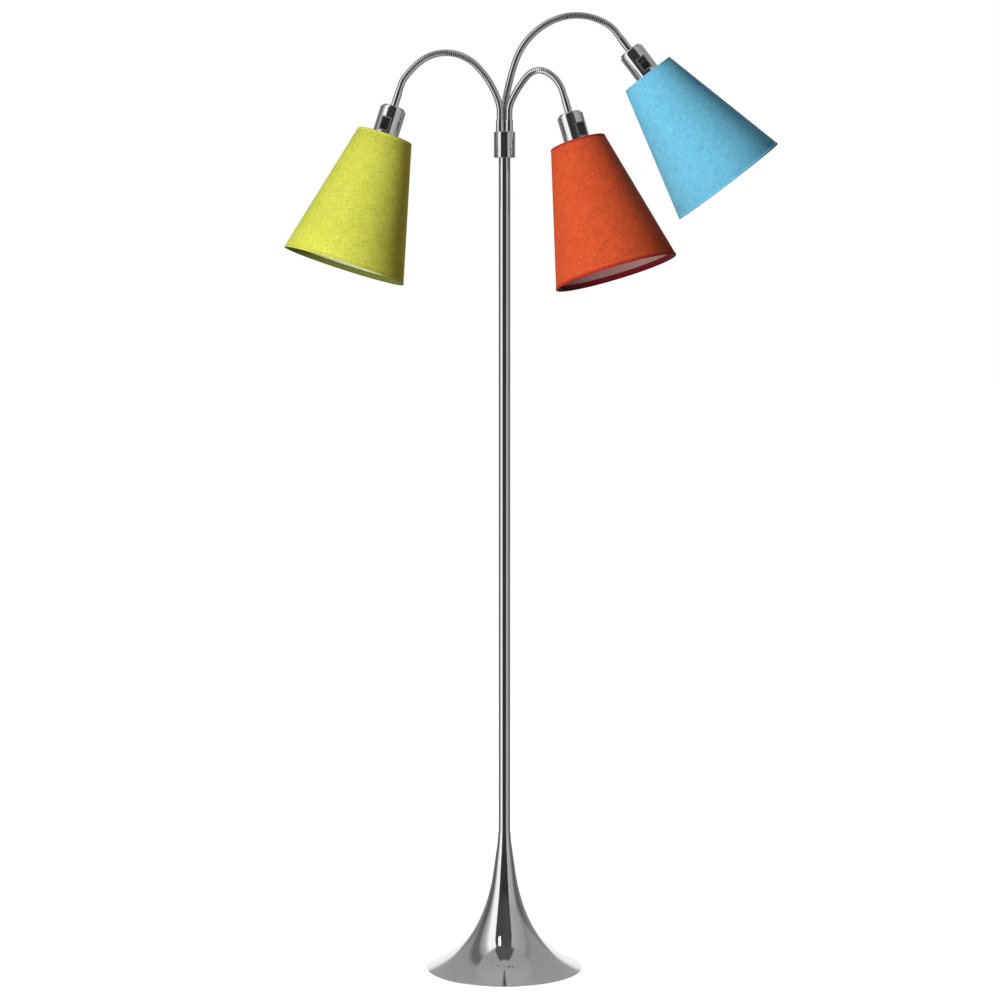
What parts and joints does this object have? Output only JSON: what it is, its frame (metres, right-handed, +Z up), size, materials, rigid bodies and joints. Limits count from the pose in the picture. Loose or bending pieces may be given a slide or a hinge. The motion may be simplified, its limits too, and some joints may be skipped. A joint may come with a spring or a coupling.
{
  "type": "tree floor lamp",
  "caption": "Floor lamp with a trumpet foot, a straight stem and flexible arms, each with a cone fabric shade, a lamp holder and a rocker switch.",
  "frame": {"origin": "on the floor under the centre of the stem, in the underside of the foot's pad", "axes": "+Z up the stem, -Y towards the viewer of the picture, +X to that viewer's right"},
  "size_m": [0.776, 0.29, 1.5257],
  "materials": {
    "foot_chrome": "polished",
    "weight_iron": "rough",
    "pad_felt": "matt",
    "steel_hardware": "zinc plated",
    "black_plastic": "satin",
    "lead_sheath": "matt",
    "stem_chrome": "polished",
    "neck_steel": "wound, bright",
    "switch_black": "gloss",
    "frame_white": "satin",
    "fabric_green": "woven, plain",
    "fabric_red": "woven, plain",
    "fabric_blue": "woven, plain",
    "bulb_screw": "plain",
    "bulb_opal": "opal"
  },
  "bodies": {
    "stand": {"base_cover": "foot_chrome", "base_weight": "weight_iron", "base_pad": "pad_felt", "base_nut": "steel_hardware", "base_nipple": "steel_hardware", "cable_gland": "black_plastic", "supply_lead": "lead_sheath", "stem_lower": "stem_chrome", "stem_joiner": "steel_hardware", "stem_upper": "stem_chrome", "hub_collar": "stem_chrome", "hub_core": "steel_hardware", "left_ferrule": "stem_chrome", "right_ferrule": "stem_chrome", "rear_ferrule": "stem_chrome"},
    "left_root": {"left_neck_root": "neck_steel"},
    "left_rise": {"left_neck_rise": "neck_steel"},
    "left_arch": {"left_neck_arch": "neck_steel"},
    "left_head": {"left_neck_sleeve": "stem_chrome", "left_holder_cap": "stem_chrome", "left_holder_shell": "stem_chrome", "left_switch_body": "switch_black", "left_socket": "black_plastic", "left_shade_frame": "frame_white", "left_shade_clamp": "black_plastic", "left_shade": "fabric_green", "left_shade_hoop": "frame_white", "left_bulb_cap": "bulb_screw", "left_bulb_globe": "bulb_opal"},
    "left_rocker": {"left_switch_rocker": "switch_black"},
    "right_root": {"right_neck_root": "neck_steel"},
    "right_rise": {"right_neck_rise": "neck_steel"},
    "right_arch": {"right_neck_arch": "neck_steel"},
    "right_head": {"right_neck_sleeve": "stem_chrome", "right_holder_cap": "stem_chrome", "right_holder_shell": "stem_chrome", "right_switch_body": "switch_black", "right_socket": "black_plastic", "right_shade_frame": "frame_white", "right_shade_clamp": "black_plastic", "right_shade": "fabric_red", "right_shade_hoop": "frame_white", "right_bulb_cap": "bulb_screw", "right_bulb_globe": "bulb_opal"},
    "right_rocker": {"right_switch_rocker": "switch_black"},
    "rear_root": {"rear_neck_root": "neck_steel"},
    "rear_rise": {"rear_neck_rise": "neck_steel"},
    "rear_arch": {"rear_neck_arch": "neck_steel"},
    "rear_head": {"rear_neck_sleeve": "stem_chrome", "rear_holder_cap": "stem_chrome", "rear_holder_shell": "stem_chrome", "rear_switch_body": "switch_black", "rear_socket": "black_plastic", "rear_shade_frame": "frame_white", "rear_shade_clamp": "black_plastic", "rear_shade": "fabric_blue", "rear_shade_hoop": "frame_white", "rear_bulb_cap": "bulb_screw", "rear_bulb_globe": "bulb_opal"},
    "rear_rocker": {"rear_switch_rocker": "switch_black"}
  },
  "joints": [
    {"name": "left_swing", "type": "hinge", "parent": "stand", "child": "left_root", "pos_m": [-0.00702, -0.00405, 1.3565], "axis": [0, 0, 1], "range_deg": [-30, 30]},
    {"name": "left_root_bend", "type": "hinge", "parent": "left_root", "child": "left_rise", "pos_m": [-0.01014, -0.00474, 1.38613], "axis": [0.2164, -0.9763, 0], "range_deg": [-20, 15]},
    {"name": "left_arch_bend", "type": "hinge", "parent": "left_rise", "child": "left_arch", "pos_m": [-0.10802, -0.02644, 1.45619], "axis": [-0.2164, 0.9763, 0], "range_deg": [-15, 25]},
    {"name": "left_shade_tilt", "type": "hinge", "parent": "left_arch", "child": "left_head", "pos_m": [-0.16492, -0.03906, 1.39651], "axis": [-0.2164, 0.9763, 0], "range_deg": [-20, 30]},
    {"name": "left_switch_rock", "type": "hinge", "parent": "left_head", "child": "left_rocker", "pos_m": [-0.18486, -0.0598, 1.34615], "axis": [0.935, -0.2159, -0.2814], "range_deg": [-12, 0]},
    {"name": "right_swing", "type": "hinge", "parent": "stand", "child": "right_root", "pos_m": [0.00702, -0.00405, 1.3565], "axis": [0, 0, 1], "range_deg": [-30, 30]},
    {"name": "right_root_bend", "type": "hinge", "parent": "right_root", "child": "right_rise", "pos_m": [0.01104, -0.0056, 1.38583], "axis": [0.3584, 0.9336, 0], "range_deg": [-10, 10]},
    {"name": "right_arch_bend", "type": "hinge", "parent": "right_rise", "child": "right_arch", "pos_m": [0.04712, -0.01945, 1.43062], "axis": [-0.3584, -0.9336, 0], "range_deg": [-10, 10]},
    {"name": "right_shade_tilt", "type": "hinge", "parent": "right_arch", "child": "right_head", "pos_m": [0.09391, -0.03741, 1.38646], "axis": [-0.3584, -0.9336, 0], "range_deg": [-12, 14]},
    {"name": "right_switch_rock", "type": "hinge", "parent": "right_head", "child": "right_rocker", "pos_m": [0.11778, -0.05819, 1.33785], "axis": [0.8332, 0.5206, 0.1864], "range_deg": [-12, 0]},
    {"name": "rear_swing", "type": "hinge", "parent": "stand", "child": "rear_root", "pos_m": [0, 0.0081, 1.3565], "axis": [0, 0, 1], "range_deg": [-30, 30]},
    {"name": "rear_root_bend", "type": "hinge", "parent": "rear_root", "child": "rear_rise", "pos_m": [0.00157, 0.00814, 1.38641], "axis": [-0.0262, 0.9997, 0], "range_deg": [-15, 8]},
    {"name": "rear_arch_bend", "type": "hinge", "parent": "rear_rise", "child": "rear_arch", "pos_m": [0.07779, 0.01014, 1.51278], "axis": [0.0262, -0.9997, 0], "range_deg": [-6, 20]},
    {"name": "rear_shade_tilt", "type": "hinge", "parent": "rear_arch", "child": "rear_head", "pos_m": [0.18197, 0.01286, 1.48609], "axis": [0.0262, -0.9997, 0], "range_deg": [-8, 25]},
    {"name": "rear_switch_rock", "type": "hinge", "parent": "rear_head", "child": "rear_rocker", "pos_m": [0.21829, -0.00347, 1.44392], "axis": [0.7788, 0.1798, 0.601], "range_deg": [-12, 0]}
  ]
}
